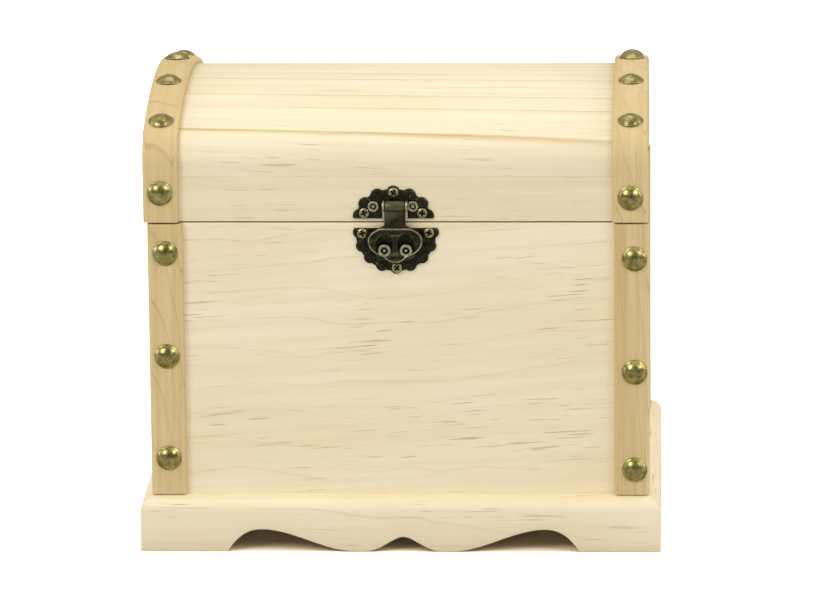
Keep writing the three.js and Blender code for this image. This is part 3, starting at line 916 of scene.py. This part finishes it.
def plate_reach(plate, centres, flat_z, angle):
    """How far the plate reaches in one direction from the middle of its straight edge."""
    dx, dz = math.cos(angle), math.sin(angle)
    a, b = plate["a"] + PLATE_OVER, plate["b"] + PLATE_OVER
    rise = flat_z - SEAM_Z - plate["z"]
    square = (dx / a) ** 2 + (dz / b) ** 2
    half = rise * dz / b**2
    reach = (-half + math.sqrt(half**2 - square * ((rise / b) ** 2 - 1))) / square
    for x, z in centres:
        along = (x - plate["x"]) * dx + (z - flat_z) * dz
        off = (x - plate["x"]) * dz - (z - flat_z) * dx
        if abs(off) < plate["lobe_r"]:
            reach = max(reach, along + math.sqrt(plate["lobe_r"] ** 2 - off**2))
    return reach


def plate_height(plate, centres, x, z, to_edge):
    """The cast relief: a hammered field, petals domed round the edge, a raised ring and a rounded rim."""
    height = RELIEF["field"]
    near = min(math.dist((x, z), centre) for centre in centres) / plate["lobe_r"]
    if near < 1:
        height += RELIEF["petal"] * math.sqrt(1 - near**2)
    radial = math.hypot((x - plate["x"]) / plate["a"], (z - SEAM_Z - plate["z"]) / plate["b"])
    from_ring = (radial - RELIEF_RING["share"]) / RELIEF_RING["width"]
    height += RELIEF_RING["height"] * math.exp(-(from_ring**2))
    turn = math.atan2(z - SEAM_Z, x - plate["x"])
    dents = math.sin(radial * RELIEF_HAMMERING["rings"]) * math.sin(turn * RELIEF_HAMMERING["spokes"])
    height += RELIEF_HAMMERING["height"] * dents
    rim = min(to_edge / RELIEF["rim"], 1)
    return RELIEF["edge"] + (height - RELIEF["edge"]) * math.sqrt(1 - (1 - rim) ** 2)


def cast_plate(plate, flat_z):
    """A plate drawn ring by ring from its outline in to the middle of its straight edge."""
    centres = lobe_centres(plate)
    turns, depth = 240, 30
    bm = bmesh.new()
    grid = []
    for k in range(depth + 1):
        share = 1 - (k / depth) ** 1.5
        row = []
        for i in range(turns + 1):
            angle = plate["side"] * math.pi * i / turns
            full = plate_reach(plate, centres, flat_z, angle)
            x = plate["x"] + full * share * math.cos(angle)
            z = flat_z + full * share * math.sin(angle)
            to_edge = min(full * (1 - share), abs(z - flat_z))
            row.append(bm.verts.new((x, PLATE_BACK - plate_height(plate, centres, x, z, to_edge), z)))
        grid.append(row)
    for outer, inner in zip(grid, grid[1:]):
        for i in range(turns):
            bm.faces.new((outer[i], outer[i + 1], inner[i + 1], inner[i]))
    bmesh.ops.remove_doubles(bm, verts=bm.verts, dist=1e-4)
    rim = [edge for edge in bm.edges if edge.is_boundary]
    made = bmesh.ops.extrude_edge_only(bm, edges=rim)["geom"]
    for item in made:
        if isinstance(item, bmesh.types.BMVert):
            item.co.y = PLATE_BACK
    bmesh.ops.holes_fill(bm, edges=[edge for edge in bm.edges if edge.is_boundary], sides=0)
    return bm


def ring_stud(x, z, tip_y, radius, bore, depth):
    """A round stud standing on the plate, with a rubbed rim round a hollow and a pin's end in the middle."""
    stand = PLATE_BACK - PLATE_T * 0.5 - tip_y
    profile = [
        (0, 0), (radius, 0), (radius, stand * 0.4),
        (radius * 0.93, stand * 0.5), (radius * 0.93, stand - 0.3),
        (radius, stand - 0.22), (radius, stand - 0.1), (radius - 0.12, stand),
        (bore + 0.12, stand), (bore, stand - 0.12),
        (bore * 0.96, stand - depth), (bore * 0.6, stand - depth),
        (bore * 0.56, stand - depth * 0.45), (bore * 0.4, stand - depth * 0.25), (0, stand - depth * 0.18),
    ]
    stud = turned(profile, facing(x, PLATE_BACK - PLATE_T * 0.5, z), 36)
    for face in stud.faces:
        if all(vert.co.y < tip_y + RUBBED_DEPTH for vert in face.verts):
            face.material_index = 1
    return stud


def build_upper_plate():
    """The plate on the lid, with a boss to either side and two ears that hold the tongue's pin."""
    pin = JOINT_PLACES["hasp_swing"]
    boss_y = PLATE_BACK - PLATE_T - BOSS["proud"]
    parts = [cast_plate(UPPER_PLATE, SEAM_Z + UPPER_PLATE["z"])]
    for x, z in BOSSES:
        parts.append(ring_stud(x, SEAM_Z + z, boss_y, BOSS["radius"], BOSS["bore"], BOSS["hollow"]))
    ear_r = BARREL["radius"] - EAR["smaller"]
    ear_in = BARREL["half"] + EAR["gap"]
    for out in SIDES.values():
        near, far = sorted((pin.x + out * ear_in, pin.x + out * (ear_in + EAR["thick"])))
        parts.append(rubbed(rod(ear_r, near, far, pin.y, pin.z)))
        foot_z = SEAM_Z + UPPER_PLATE["z"] + 0.1
        low, high = (near, pin.y, foot_z), (far, PLATE_BACK - PLATE_T * 0.5, pin.z + ear_r)
        parts.append(rubbed(block(low, high, "xyz", (0, 0, 0))))
    plate = new_object("latch_upper_plate_cast", merged(*parts), sharp=45)
    stand_for(plate, "latch_upper_plate")
    plate.data.materials.append(RUBBED_BRONZE)


def build_lower_plate():
    """The plate on the case, with the two posts that come through the tongue's openings."""
    pin = JOINT_PLACES["hasp_swing"]
    tip_y = pin.y + TONGUE_BACK - TONGUE_T - POST["proud"]
    parts = [cast_plate(LOWER_PLATE, SEAM_Z + LOWER_TOP)]
    for out in SIDES.values():
        x = pin.x + out * POST["half"]
        parts.append(ring_stud(x, SEAM_Z + POST["z"], tip_y, POST["radius"], POST["bore"], POST["hollow"]))
    plate = new_object("latch_lower_plate_cast", merged(*parts), sharp=45)
    stand_for(plate, "latch_lower_plate")
    plate.data.materials.append(RUBBED_BRONZE)


def heart_outline():
    """The tongue about its pin: a neck, and a heart below it."""
    right = bezier((4.2, -7.6), (5.4, -8.9), (10.7, -9.6), (10.7, -13.8), 14)
    right += bezier((10.7, -13.8), (10.7, -17.6), (7.2, -19.4), (4.4, -20.4), 12)
    right += bezier((4.4, -20.4), (3, -21.8), (1.8, -22.6), (0, -22.6), 10)
    left = [(-x, z) for x, z in reversed(right)]
    half, top = BARREL["half"], -1.6
    return [(half, top), (half, -3), *right, (0, -22.6), *left, (-half, -3), (-half, top)]


def drawn_in(points, distance):
    """A loop moved inwards by a distance, for one that runs clockwise."""
    moved = []
    for i, (x, z) in enumerate(points):
        before, after = points[i - 1], points[(i + 1) % len(points)]
        tangent = Vector((after[0] - before[0], after[1] - before[1])).normalized()
        moved.append((x + tangent.y * distance, z - tangent.x * distance))
    return moved


def build_tongue():
    """The heart-shaped tongue: a flat plate with two openings and beaded edges, rolled round its pin."""
    pin = JOINT_PLACES["hasp_swing"]
    back_y = pin.y + TONGUE_BACK
    front_y = back_y - TONGUE_T
    outline = heart_outline()

    def placed(points):
        return [(pin.x + x, pin.z + z) for x, z in points]

    def opening(out, wider=0.0):
        x, z, a, b, lean = OPENING.values()
        return placed(oval(out * x, z, a + wider, b + wider, out * lean))

    plate = plate_with_holes([placed(outline), opening(-1), opening(1)], back_y, TONGUE_T)
    raised = [point for point in outline if point[1] < TONGUE_BEAD["from_z"]]
    edge = placed(drawn_in(raised, TONGUE_BEAD["inset"]))
    parts = [plate, rubbed(bead(edge, front_y, TONGUE_BEAD["radius"]))]
    for out in SIDES.values():
        parts.append(bead(opening(out, OPENING_BEAD["outset"]), front_y, OPENING_BEAD["radius"]))
    low, high = pin.x - BARREL["half"], pin.x + BARREL["half"]
    parts.append(rod(BARREL["radius"], low, high, pin.y, pin.z, 0.25, BARREL["pin_r"] + CLEAR))
    heart = new_object("latch_tongue_heart", merged(*parts), EASE["tongue"], sharp=45)
    stand_for(heart, "latch_tongue")
    heart.data.materials.append(RUBBED_BRONZE)


def build_latch_pin():
    low, high = extent("latch_pin")
    middle = (low + high) / 2
    pin = rod(BARREL["pin_r"], low.x, high.x, middle.y, middle.z, 0.25)
    stand_for(new_object("latch_pin_rod", pin), "latch_pin")


# ---- Hinges ----


def hinge_leaf(x, up, knuckles, wide):
    """A leaf above (up 1) or below (up -1) the pin, with the knuckles that roll round it."""
    pin = JOINT_PLACES["lid_hinge"]
    barrel_r, leaf_t = HINGE["barrel_r"], HINGE["leaf_t"]
    near, far = sorted((pin.z + up * (barrel_r + HINGE["gap"]), pin.z + up * HINGE["leaf_h"]))
    back_y = HALF_D + GLUE
    parts = [block((x - wide / 2, back_y, near), (x + wide / 2, back_y + leaf_t, far), "xyz", (0, 0, 0))]
    for low, high in knuckles:
        parts.append(rod(barrel_r, x + low, x + high, pin.y, pin.z, 0.15, HINGE["pin_r"] + CLEAR))
        foot, top = sorted((pin.z + up * 1.0, pin.z + up * (barrel_r + HINGE["gap"] + 0.5)))
        corners = (x + low, back_y + 0.1, foot), (x + high, back_y + leaf_t, top)
        parts.append(block(*corners, "xyz", (0, 0, 0)))
    return merged(*parts)


def build_hinges():
    """Two butt hinges: two knuckles on each case leaf, one between them on the lid leaf, and a pin."""
    pin = JOINT_PLACES["lid_hinge"]
    solid = screw_solid(**HINGE_SCREW)
    head_y = HALF_D + GLUE + HINGE["leaf_t"] - HINGE_SCREW_PLACE["sunk"]
    for side in SIDES:
        low, high = extent(f"hinge_{side}_pin")
        x, half = (low.x + high.x) / 2, (high.x - low.x) / 2
        third, gap = half / 3, HINGE["gap"]
        outer = [(-half, -third - gap), (third + gap, half)]
        for body, up, knuckles in (("case", -1, outer), ("lid", 1, [(-third, third)])):
            leaf = hinge_leaf(x, up, knuckles, 2 * half)
            node = f"hinge_{side}_{body}_leaf"
            stand_for(new_object(node + "_rolled", leaf, EASE["leaf"]), node)
            for hand, out in SIDES.items():
                head_x = x + out * half * HINGE_SCREW_PLACE["share"]
                place = facing(head_x, head_y, pin.z + up * HINGE_SCREW_PLACE["from_pin"], -90)
                name = f"hinge_{side}_{body}_screw_{hand}"
                add_extra(screw_at(name, solid, place), body, "screw_worn_brass")
        rolled = rod(HINGE["pin_r"], low.x, high.x, pin.y, pin.z, 0.2)
        stand_for(new_object(f"hinge_{side}_pin_rod", rolled), f"hinge_{side}_pin")
    solid.free()


# ---- Stage ----

SENSOR_MM = 36
CAMERA_PLACE = (106.6, -2395.7, 664.6)
CAMERA_TARGET = (3.8, -72, 97.6)
CAMERA_ROLL = -0.01
LENS_MM = 270.3
FLOOR_RADIUS = 9000
FLOOR_GREY = 0.5
FLOOR_SPECK = 0.02
FLOOR_EXPOSURE = 4.0
FLOOR_SHADE = (0.6, 0.46, 0.28, 1.0)  # the warm light left on the floor under the chest
FLOOR_SHADE_MM = 50
WHITE = (1.0, 1.0, 1.0, 1.0)
# How a direction's height, and how far behind the chest it points, turn into light: from and to, then
# the light at either end.
SKY_HEIGHT = (-0.1, 0.9, 0.4, 1.1)
SKY_BEHIND = (-0.9, 0.2, 0.34, 1.0)


def build_floor():
    """A pale floor that the camera sees overexposed, so that only the shadow close under the chest shows,
    deepened and tinted warm by a painted shadow from ambient occlusion.
    """
    n = Nodes("pale_floor")
    speck = n.noise(n.add("ShaderNodeTexCoord").outputs["Object"], scale=40, detail=3)
    grey = n.range(speck, 0.3, 0.7, FLOOR_GREY - FLOOR_SPECK, FLOOR_GREY + FLOOR_SPECK)
    seen = n.range(n.add("ShaderNodeLightPath").outputs["Is Camera Ray"], 0.0, 1.0, 1.0, FLOOR_EXPOSURE)
    # Painted shadow: ambient occlusion darkens the floor's colour near and under the chest and tints it warm.
    near = n.add("ShaderNodeAmbientOcclusion", samples=8)
    near.inputs["Distance"].default_value = FLOOR_SHADE_MM * MM
    tint = n.mix(n.range(near.outputs["AO"], 0.2, 0.7), FLOOR_SHADE, WHITE)
    tinted = n.add("ShaderNodeVectorMath", operation="MULTIPLY")
    n.put(tinted.inputs[0], tint)
    n.put(tinted.inputs[1], n.math("MULTIPLY", grey, seen))
    cloth = n.add("ShaderNodeBsdfDiffuse")
    n.put(cloth.inputs["Color"], tinted.outputs[0])
    n.put(n.output.inputs[0], cloth.outputs[0])
    bm = bmesh.new()
    bmesh.ops.create_circle(bm, cap_ends=True, segments=96, radius=FLOOR_RADIUS)
    floor = new_object("floor", bm)
    floor.data.materials.append(n.material)


def build_world():
    """White behind the chest. All round it soft light: strong above, weaker level with the front."""
    world = bpy.data.worlds.new("studio")
    bpy.context.scene.world = world
    world.use_nodes = True
    tree = world.node_tree
    tree.nodes.clear()
    direction = tree.nodes.new("ShaderNodeTexCoord").outputs["Generated"]
    split = tree.nodes.new("ShaderNodeSeparateXYZ")
    tree.links.new(direction, split.inputs[0])
    light = tree.nodes.new("ShaderNodeMath")
    light.operation = "MULTIPLY"
    for place, (part, limits) in enumerate((("Z", SKY_HEIGHT), ("Y", SKY_BEHIND))):
        share = tree.nodes.new("ShaderNodeMapRange")
        tree.links.new(split.outputs[part], share.inputs[0])
        for socket, value in zip(list(share.inputs)[1:], limits):
            socket.default_value = value
        tree.links.new(share.outputs[0], light.inputs[place])
    seen = tree.nodes.new("ShaderNodeLightPath").outputs["Is Camera Ray"]
    strength = tree.nodes.new("ShaderNodeMix")
    tree.links.new(seen, strength.inputs[0])
    tree.links.new(light.outputs[0], strength.inputs[2])
    strength.inputs[3].default_value = 1.0
    background = tree.nodes.new("ShaderNodeBackground")
    tree.links.new(strength.outputs[0], background.inputs["Strength"])
    output = tree.nodes.new("ShaderNodeOutputWorld")
    tree.links.new(background.outputs[0], output.inputs[0])


def soft_box(name, place, size, power, reflected=True):
    """A square light aimed at the chest's middle. The camera doesn't see it, but reflections may."""
    light = bpy.data.lights.new(name, "AREA")
    light.shape = "SQUARE"
    light.size = size * MM
    light.energy = power
    obj = bpy.data.objects.new(name, light)
    obj.location = Vector(place) * MM
    aim = Vector((0, 0, SEAM_Z * 0.7)) * MM - obj.location
    obj.rotation_mode = "QUATERNION"
    obj.rotation_quaternion = aim.to_track_quat("-Z", "Y")
    obj.visible_camera = False
    obj.visible_glossy = reflected
    bpy.context.scene.collection.objects.link(obj)


def build_lights():
    soft_box("left_box", (-1300, -1500, 1500), size=900, power=21)
    soft_box("right_box", (1500, -1300, 1500), size=900, power=12.5)
    soft_box("overhead", (0, 100, 1900), size=1300, power=5.5)
    soft_box("low_fill", (0, -2000, 250), size=900, power=8.5, reflected=False)
    soft_box("left_side", (-1900, 100, 700), size=900, power=9)
    soft_box("right_side", (1900, 100, 700), size=900, power=12)


def build_camera():
    camera = bpy.data.cameras.new("camera")
    camera.sensor_width = SENSOR_MM
    camera.lens = LENS_MM
    camera.clip_end = 100
    obj = bpy.data.objects.new("camera", camera)
    obj.location = Vector(CAMERA_PLACE) * MM
    aim = Vector(CAMERA_TARGET) * MM - obj.location
    obj.rotation_mode = "QUATERNION"
    obj.rotation_quaternion = aim.to_track_quat("-Z", "Y") @ Quaternion((0, 0, 1), CAMERA_ROLL)
    bpy.context.scene.collection.objects.link(obj)
    bpy.context.scene.camera = obj


def build_chest():
    build_boards()
    build_lid_top()
    build_lid_ends()
    build_case_straps()
    build_lid_straps()
    build_base()
    build_nails()
    build_back_nails()
    build_latch_screws()
    build_upper_plate()
    build_lower_plate()
    build_tongue()
    build_latch_pin()
    build_hinges()


def build_stage():
    bpy.context.scene.view_settings.view_transform = "Standard"
    build_floor()
    build_world()
    build_lights()
    build_camera()


build_chest()
build_stage()
